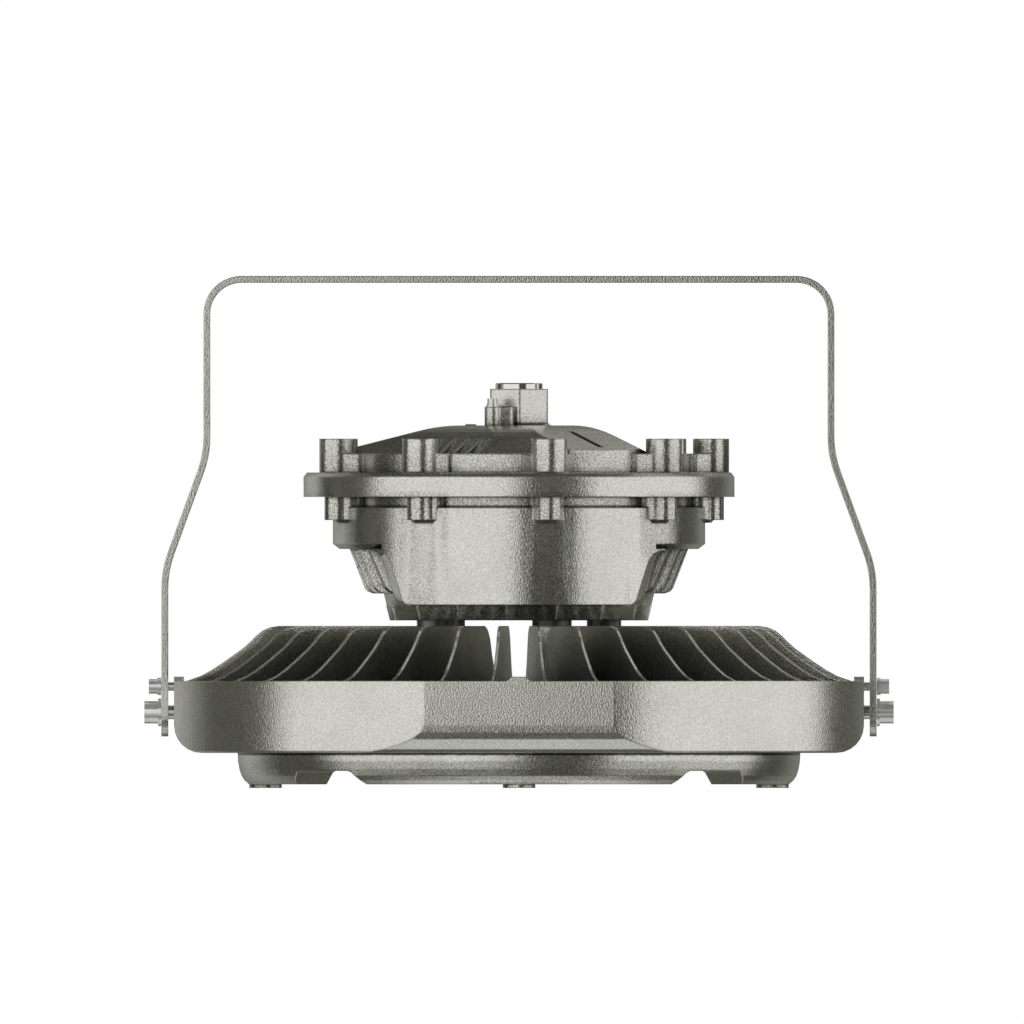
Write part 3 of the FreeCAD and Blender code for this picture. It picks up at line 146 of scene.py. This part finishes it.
def multiply_colour(tree, base, tone):
    """A colour darkened or lightened by a tone."""
    return blend(tree, "RGBA", 1.0, base, tone, "MULTIPLY")


def mix_shaders(tree, factor, first, second, surface):
    """The first shader where the factor is 0 and the second where it is 1."""
    node = tree.nodes.new("ShaderNodeMixShader")
    tree.links.new(factor, node.inputs["Fac"])
    tree.links.new(first, node.inputs[1])
    tree.links.new(second, node.inputs[2])
    tree.links.new(node.outputs["Shader"], surface)


def bump(tree, shader, height, strength, distance, below=None):
    """A relief on the shader, over other normals where they are given."""
    node = tree.nodes.new("ShaderNodeBump")
    node.inputs["Strength"].default_value = strength
    node.inputs["Distance"].default_value = distance
    tree.links.new(height, node.inputs["Height"])
    if below is not None:
        tree.links.new(below, node.inputs["Normal"])
    tree.links.new(node.outputs["Normal"], shader.inputs["Normal"])


def shades(colour, darker, lighter):
    """A darker and a lighter shade of a colour, no channel over 1."""
    return tuple(c * darker for c in colour), tuple(min(1.0, c * lighter) for c in colour)


# Materials.

# Colour of the painted shade in inner corners and joints.
CREVICE_SHADE = (0.25, 0.25, 0.24)
FLAKE_DARK = (0.66, 0.66, 0.64)
FLAKE_LIGHT = (1.3, 1.3, 1.28)
# Grains per metre of the paint's pebbles, its metallic flakes and its broad clouds.
PEBBLE_GRAIN = 1000.0
FLAKE_GRAIN = 1200.0
CLOUD_GRAIN = 35.0
# Half the height of the band along a flush joint that isn't rounded.
JOINT_HALF = 1.8 * MM
# How far the border of a tone wanders up and down, and how finely.
TONE_WANDER = 0.2 * MM
TONE_GRAIN = 300.0


def painted_crevice_shade(tree, reach):
    """A painted shade that darkens inner corners and joints, as deep as an occlusion node finds
    surfaces close by.
    """
    node = tree.nodes.new("ShaderNodeAmbientOcclusion")
    node.samples = NODE_RAYS
    node.inputs["Distance"].default_value = reach
    return ramp(tree, node.outputs["AO"], ((0.35, CREVICE_SHADE), (0.85, (1.0, 1.0, 1.0))))


def height_tone(tree, start, end, value):
    """A tone that goes from the value at the start height to 1 at the end height."""
    where, height = object_height(tree)
    ragged = span(tree, noise(tree, where, TONE_GRAIN), NOISE_LOW, NOISE_HIGH,
                  -TONE_WANDER, TONE_WANDER)
    return span(tree, calc(tree, "ADD", height, ragged), start, end, value, 1.0)


def cast_edges(tree, joint, radius):
    """Normals that round the cast edges a little, except along a flush joint at one height."""
    node = tree.nodes.new("ShaderNodeBevel")
    node.samples = NODE_RAYS
    node.inputs["Radius"].default_value = radius
    rounded = node.outputs["Normal"]
    if joint is None:
        return rounded
    height = object_height(tree)[1]
    away = calc(tree, "ABSOLUTE", calc(tree, "SUBTRACT", height, joint))
    geometry = tree.nodes.new("ShaderNodeNewGeometry")
    return blend(tree, "VECTOR", calc(tree, "GREATER_THAN", away, JOINT_HALF),
                 geometry.outputs["Normal"], rounded)


def hammertone(name, colour, strength=0.3, joint=None, tones=(), reach=4 * MM, edge=1.2 * MM):
    """Grey metallic powder coat with a fine pebbled skin, painted shade in hollows and rubbed
    edges.

    Each tone is a darker or lighter zone of heights, as height_tone takes it."""
    mat, tree, shader = new_material(name)
    where = object_coords(tree)
    fine = noise(tree, where, PEBBLE_GRAIN, 1.0)
    broad = noise(tree, where, CLOUD_GRAIN, 3.0, 0.55)
    flake = noise(tree, where, FLAKE_GRAIN, 1.0)
    dark, light = shades(colour, 0.86, 1.1)
    base = ramp(tree, broad, ((NOISE_LOW, dark), (NOISE_HIGH, light)))
    base = multiply_colour(tree, base, ramp(
        tree, flake, ((0.36, FLAKE_DARK), (0.64, FLAKE_LIGHT))))
    # Painted shade: inner corners and joints are darkened by ambient occlusion.
    base = multiply_colour(tree, base, painted_crevice_shade(tree, reach))
    geometry = tree.nodes.new("ShaderNodeNewGeometry")
    worn = span(tree, geometry.outputs["Pointiness"], 0.515, 0.56, 0.0, 0.5)
    rubbed = shades(colour, 1.0, 1.5)[1]
    base = blend(tree, "RGBA", worn, base, rubbed)
    for tone in tones:
        base = multiply_colour(tree, base, height_tone(tree, *tone))
    tree.links.new(base, shader.inputs["Base Color"])
    shader.inputs["Metallic"].default_value = 0.93
    tree.links.new(span(tree, fine, NOISE_LOW, NOISE_HIGH, 0.11, 0.27),
                   shader.inputs["Roughness"])
    bump(tree, shader, fine, strength, 0.4 * MM, cast_edges(tree, joint, edge))
    return mat


def metal(name, colour, rough, stretch=(1, 1, 1), grain=1200.0, strength=0.08, bare=1.0):
    """Bare or plated metal with fine turning or brush marks."""
    mat, tree, shader = new_material(name)
    lines = noise(tree, object_coords(tree, stretch), grain)
    cloud = noise(tree, object_coords(tree), 120.0, 3.0)
    dark = shades(colour, 0.85, 1.0)[0]
    tree.links.new(ramp(tree, cloud, ((NOISE_LOW, dark), (NOISE_HIGH, colour))),
                   shader.inputs["Base Color"])
    shader.inputs["Metallic"].default_value = bare
    tree.links.new(span(tree, lines, NOISE_LOW, NOISE_HIGH, rough * 0.75, rough * 1.35),
                   shader.inputs["Roughness"])
    bump(tree, shader, lines, strength, 0.2 * MM)
    return mat


def plain_solid(name, colour, rough, grain=600.0, strength=0.15, spread=0.08):
    """Rubber, silicone or moulded plastic with a fine moulded skin."""
    mat, tree, shader = new_material(name)
    where = object_coords(tree)
    fine = noise(tree, where, grain)
    cloud = noise(tree, where, 60.0, 3.0)
    dark, light = shades(colour, 1 - spread, 1 + spread)
    tree.links.new(ramp(tree, cloud, ((NOISE_LOW, dark), (NOISE_HIGH, light))),
                   shader.inputs["Base Color"])
    tree.links.new(span(tree, fine, NOISE_LOW, NOISE_HIGH, rough - 0.05, rough + 0.08),
                   shader.inputs["Roughness"])
    bump(tree, shader, fine, strength, 0.2 * MM)
    return mat


def clear_glass(name):
    """Clear glass with faint smears."""
    mat, tree, shader = new_material(name)
    smear = noise(tree, object_coords(tree), 14.0, 4.0, 0.6)
    shader.inputs["Base Color"].default_value = (0.93, 0.97, 0.96, 1.0)
    shader.inputs["Transmission Weight"].default_value = 1.0
    shader.inputs["IOR"].default_value = 1.5
    tree.links.new(span(tree, smear, 0.35, 0.75, 0.015, 0.06), shader.inputs["Roughness"])
    return mat


# Heights of the housing's flush joint, its dark band, the ring's seam and the feet's tops.
FLANGE_JOINT = 175.8 * MM
BAND_TOP = 106.5 * MM
RING_SEAM = 20.3 * MM
FOOT_TOP = 2.1 * MM
# Painted shade: the housing's band below BAND_TOP is painted darker, down to 0.68.
BAND_PAINTED_SHADE = (BAND_TOP - 1.0 * MM, BAND_TOP, 0.68)
# Painted shadow: a dark line on the ring just under its seam with the heat sink, down to 0.12.
SEAM_PAINTED_SHADOW = (RING_SEAM - 1.0 * MM, RING_SEAM - 1.7 * MM, 0.12)
# Painted highlight: the feet are painted 1.7 times lighter below their tops.
FOOT_PAINTED_HIGHLIGHT = (FOOT_TOP - 0.3 * MM, FOOT_TOP, 1.7)

GREY = (0.54, 0.54, 0.505)
casting = hammertone("casting_paint", GREY)
housing = hammertone("housing_paint", GREY, joint=FLANGE_JOINT, tones=[BAND_PAINTED_SHADE])
cover = hammertone("cover_paint", GREY, joint=FLANGE_JOINT, reach=7 * MM, edge=1.8 * MM)
ring = hammertone("ring_paint", GREY, tones=[SEAM_PAINTED_SHADOW, FOOT_PAINTED_HIGHLIGHT])
strip = hammertone("yoke_paint", (0.46, 0.46, 0.43), strength=0.6)
stainless = metal("stainless_steel", (0.99, 0.99, 0.98), 0.14, bare=0.5)
nickel = metal("nickel_plate", (0.86, 0.85, 0.83), 0.12)
zinc = metal("zinc_plate", (0.58, 0.59, 0.60), 0.35)
blackened = metal("blackened_steel", (0.17, 0.17, 0.16), 0.3, stretch=(1, 1, 6), grain=700.0,
                  strength=0.3)
bright = metal("bright_reflector", (0.9, 0.9, 0.9), 0.14, stretch=(1, 1, 20), grain=200.0,
               strength=0.04)
case = metal("driver_case", (0.55, 0.56, 0.57), 0.38)
glass = clear_glass("toughened_glass")
silicone = plain_solid("white_silicone", (0.80, 0.80, 0.77), 0.55)
rubber = plain_solid("black_rubber", (0.028, 0.028, 0.028), 0.6)
board = plain_solid("white_solder_mask", (0.82, 0.82, 0.80), 0.4, grain=900.0, strength=0.06,
                    spread=0.03)
phosphor = plain_solid("yellow_phosphor", (0.86, 0.66, 0.16), 0.3, grain=1500.0, strength=0.1,
                       spread=0.06)
nylon = plain_solid("moulded_nylon", (0.78, 0.77, 0.70), 0.45)

FINISH = {
    "heat_sink": casting, "driver_housing": housing, "driver_cover": cover,
    "retaining_ring": ring, "yoke": strip, "glass_lens": glass, "lens_gasket": silicone,
    "led_board": board, "leds": phosphor, "reflector": bright, "cover_gasket": rubber,
    "gland_ring": nickel, "gland_seal": rubber, "terminal_block": nylon,
    "driver_unit": case, "housing_spacers": blackened, "cable_nipple": blackened,
}
STAINLESS = ("ring_screws", "board_screws", "cover_bolts", "cover_washers", "earth_washer",
             "earth_spring_washer", "earth_screw", "pivot_bolts", "pivot_washers",
             "lock_bolts", "lock_washers")
ZINC = ("housing_screws", "nipple_nut", "driver_pillars", "driver_screws", "driver_plate")
FINISH.update({name: stainless for name in STAINLESS})
FINISH.update({name: zinc for name in ZINC})
for name, mat in FINISH.items():
    obj = nodes[name]
    if not obj.material_slots:
        obj.data.materials.append(mat)
    for entry in obj.material_slots:
        entry.material = mat


# Low cast ribs on the housing's dark band, over the fins.

RIB_COUNT = 16
RIB_FIRST = math.radians(-5.4)
# Height and radius of the band at each end of a rib.
BAND_RING = ((97.4 * MM, 74.65 * MM), (106.0 * MM, 76.75 * MM))
# Cross-section of a rib: sideways, and outwards from the band. Its foot is sunk in the casting.
RIB_SECTION = ((-1.2 * MM, -0.3 * MM), (-0.5 * MM, 0.6 * MM), (0.5 * MM, 0.6 * MM),
               (1.2 * MM, -0.3 * MM))
RIB_FACES = ((1, 2, 6, 5), (2, 3, 7, 6), (0, 1, 5, 4), (3, 0, 4, 7), (0, 3, 2, 1), (4, 5, 6, 7))


def rib_points(turn):
    """The corners of one rib, first those of its lower end."""
    points = []
    for z, radius in BAND_RING:
        for side, rise in RIB_SECTION:
            points.append((math.sin(turn) * (radius + rise) + math.cos(turn) * side,
                           -math.cos(turn) * (radius + rise) + math.sin(turn) * side, z))
    return points


rib_corners = []
rib_faces = []
for k in range(RIB_COUNT):
    first = len(rib_corners)
    rib_corners += rib_points(RIB_FIRST + 2 * math.pi * k / RIB_COUNT)
    rib_faces += [[first + corner for corner in face] for face in RIB_FACES]
ribs_mesh = bpy.data.meshes.new("band_ribs")
ribs_mesh.from_pydata(rib_corners, [], rib_faces)
# The ribs are painted a lighter grey than the casting, a painted highlight along the dark band.
ribs_mesh.materials.append(hammertone("ribs_painted_highlight", (0.6, 0.6, 0.57), edge=0.2 * MM))
ribs = bpy.data.objects.new("band_ribs", ribs_mesh)
bpy.context.scene.collection.objects.link(ribs)
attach(ribs, "lamp")


# Directions of the studio: degrees round the lamp from the front, positive to the right.

KEY_ELEVATION = 10
KEY_DISTANCE = 2.2
KEY_HEIGHT = 2.2
KEY_RADIANCE = 0.86
KEY_LEFT = -41.5
KEY_LEFT_HALF = 43.0
KEY_RIGHT = 74.0
KEY_RIGHT_HALF = 40.0


def seen_directly(tree):
    """1 for the camera's rays and for those that go through glass, otherwise 0."""
    path = tree.nodes.new("ShaderNodeLightPath")
    return calc(tree, "MAXIMUM", path.outputs["Is Camera Ray"],
                path.outputs["Is Transmission Ray"])


# Floor.

FLOOR_HALF = 6.0
FLOOR_DROP = 0.2 * MM
# Glow of the floor for the camera, directly or through glass. The lamp isn't lit by it.
FLOOR_GLOW = 0.48


def floor_material():
    """Pale floor that reflections, shadow rays and a view from below go through."""
    mat, tree, shader = new_material("pale_floor")
    shader.inputs["Base Color"].default_value = (0.86, 0.86, 0.86, 1)
    shader.inputs["Roughness"].default_value = 0.9
    shader.inputs["Emission Color"].default_value = (1, 1, 0.99, 1)
    tree.links.new(calc(tree, "MULTIPLY", seen_directly(tree), FLOOR_GLOW),
                   shader.inputs["Emission Strength"])
    path = tree.nodes.new("ShaderNodeLightPath")
    geometry = tree.nodes.new("ShaderNodeNewGeometry")
    passing = calc(tree, "MAXIMUM", path.outputs["Is Glossy Ray"], path.outputs["Is Shadow Ray"])
    passing = calc(tree, "MAXIMUM", passing, geometry.outputs["Backfacing"])
    clear = tree.nodes.new("ShaderNodeBsdfTransparent")
    out = next(n for n in tree.nodes if n.type == "OUTPUT_MATERIAL")
    mix_shaders(tree, passing, shader.outputs["BSDF"], clear.outputs["BSDF"],
                out.inputs["Surface"])
    return mat


floor_mesh = bpy.data.meshes.new("floor")
floor_mesh.from_pydata(
    [(-FLOOR_HALF, -FLOOR_HALF, 0), (FLOOR_HALF, -FLOOR_HALF, 0), (FLOOR_HALF, FLOOR_HALF, 0),
     (-FLOOR_HALF, FLOOR_HALF, 0)], [], [(0, 1, 2, 3)])
floor_mesh.materials.append(floor_material())
floor = bpy.data.objects.new("floor", floor_mesh)
floor.location.z = -FLOOR_DROP
bpy.context.scene.collection.objects.link(floor)


# Room that only reflections and diffuse light see. Through the floor it shows the two key
# softboxes going on downwards over a pale ground, and behind the lamp it has a soft glow.

AMBIENT = 0.07
CARD_LEVEL = 0.6
CARD_BLUR = 3
GROUND_LEVEL = 0.6
# Elevations between which the cards start, thin out downwards and turn into the ground.
CARD_TOP = (-17, -14)
CARD_FOOT = (-40, -19)
CARD_FOOT_LEVEL = 0.05
GROUND_TOP = (-70, -50)
# Glow behind the lamp: degrees from the front round by the left, and its level there. It fades
# out upwards between two elevations.
REAR_GLOW = ((122, 0.0), (136, 0.31), (145, 0.4), (152, 0.37), (166, 0.2), (180, 0.125),
             (203, 0.17), (213, 0.1), (223, 0.0))
REAR_TOP = (27, 37)
# Tint of the room where it is dark and where it is bright, and how soon it counts as bright.
DIM_TINT = (1.0, 1.02, 0.76)
BRIGHT_TINT = (1.0, 1.01, 0.96)
TINT_GAIN = 5.0


def angle_span(tree, angle, ends, to_low, to_high):
    """A value that changes between two angles, given in degrees."""
    return span(tree, angle, math.radians(ends[0]), math.radians(ends[1]), to_low, to_high)


def room_cards(tree, bearing, height):
    """Brightness of the cards, the ground and the rear glow in a direction."""
    cards = 0.0
    for centre, half in ((KEY_LEFT, KEY_LEFT_HALF), (KEY_RIGHT, KEY_RIGHT_HALF)):
        off = calc(tree, "ABSOLUTE", calc(tree, "SUBTRACT", bearing, math.radians(centre)))
        card = angle_span(tree, off, (half - CARD_BLUR, half + CARD_BLUR), CARD_LEVEL, 0.0)
        cards = calc(tree, "ADD", card, cards)
    leftward = calc(tree, "FLOORED_MODULO", calc(tree, "MULTIPLY", bearing, -1.0), 2 * math.pi)
    rear = ramp(tree, calc(tree, "DIVIDE", leftward, 2 * math.pi),
                [(degrees / 360.0, (level,) * 3) for degrees, level in REAR_GLOW])
    rear = calc(tree, "MULTIPLY", rear, angle_span(tree, height, REAR_TOP, 1.0, 0.0))
    cards = calc(tree, "MULTIPLY", cards, angle_span(tree, height, CARD_TOP, 1.0, 0.0))
    cards = calc(tree, "ADD", cards, rear)
    cards = calc(tree, "MULTIPLY", cards,
                 angle_span(tree, height, CARD_FOOT, CARD_FOOT_LEVEL, 1.0))
    return calc(tree, "MAXIMUM", cards, angle_span(tree, height, GROUND_TOP, GROUND_LEVEL, 0.0))


def studio_world():
    """White where it is seen directly, and the dim room for all other rays."""
    world = bpy.data.worlds.new("studio")
    world.use_nodes = True
    tree = world.node_tree
    tree.nodes.clear()
    white = tree.nodes.new("ShaderNodeBackground")
    white.inputs["Color"].default_value = (1, 1, 1, 1)
    white.inputs["Strength"].default_value = 1.0
    room = tree.nodes.new("ShaderNodeBackground")
    where = tree.nodes.new("ShaderNodeTexCoord")
    axes = tree.nodes.new("ShaderNodeSeparateXYZ")
    tree.links.new(where.outputs["Generated"], axes.inputs["Vector"])
    backward = calc(tree, "MULTIPLY", axes.outputs["Y"], -1.0)
    bearing = calc(tree, "ARCTAN2", axes.outputs["X"], backward)
    cards = room_cards(tree, bearing, calc(tree, "ARCSINE", axes.outputs["Z"]))
    tree.links.new(calc(tree, "ADD", cards, AMBIENT), room.inputs["Strength"])
    tree.links.new(blend(tree, "RGBA", calc(tree, "MULTIPLY", cards, TINT_GAIN), DIM_TINT,
                         BRIGHT_TINT), room.inputs["Color"])
    out = tree.nodes.new("ShaderNodeOutputWorld")
    mix_shaders(tree, seen_directly(tree), room.outputs["Background"],
                white.outputs["Background"], out.inputs["Surface"])
    return world


bpy.context.scene.world = studio_world()


# Softboxes.

# Height over the floor that they point at.
AIM_HEIGHT = 0.12


def softbox(name, azimuth, elevation, distance, width, height, radiance):
    """A soft area light that points at the lamp's middle, turned as the studio's directions."""
    data = bpy.data.lights.new(name, "AREA")
    data.shape = "RECTANGLE"
    data.size = width
    data.size_y = height
    data.energy = radiance * math.pi * width * height
    light = bpy.data.objects.new(name, data)
    bpy.context.scene.collection.objects.link(light)
    a = math.radians(azimuth)
    e = math.radians(elevation)
    outward = Vector((math.sin(a) * math.cos(e), -math.cos(a) * math.cos(e), math.sin(e)))
    light.location = Vector((0, 0, AIM_HEIGHT)) + outward * distance
    light.rotation_mode = "QUATERNION"
    light.rotation_quaternion = outward.to_track_quat("Z", "Y")


softbox("key_left", KEY_LEFT, KEY_ELEVATION, KEY_DISTANCE, width=4.0, height=KEY_HEIGHT,
        radiance=KEY_RADIANCE)
softbox("key_right", KEY_RIGHT, KEY_ELEVATION, KEY_DISTANCE, width=3.5, height=KEY_HEIGHT,
        radiance=KEY_RADIANCE)
softbox("rear_high", azimuth=140, elevation=45, distance=2.8, width=3.4, height=1.8, radiance=0.4)
softbox("top", azimuth=180, elevation=76, distance=2.6, width=2.6, height=1.2, radiance=0.55)


# Camera: level and orthographic from the front, with the photo's scale and framing.

PHOTO_SIDE = 1024
AXIS_COLUMN = 519
FLOOR_ROW = 788
# Size of one photo pixel on the object.
PX = 0.58 * MM
CAMERA_DISTANCE = 2.0

cam_data = bpy.data.cameras.new("camera")
cam_data.type = "ORTHO"
cam_data.ortho_scale = PHOTO_SIDE * PX
cam = bpy.data.objects.new("camera", cam_data)
bpy.context.scene.collection.objects.link(cam)
cam.location = ((PHOTO_SIDE / 2 - AXIS_COLUMN) * PX, -CAMERA_DISTANCE,
                (FLOOR_ROW - PHOTO_SIDE / 2) * PX)
cam.rotation_euler = (math.pi / 2, 0, 0)
bpy.context.scene.camera = cam
bpy.context.scene.view_settings.view_transform = "Standard"
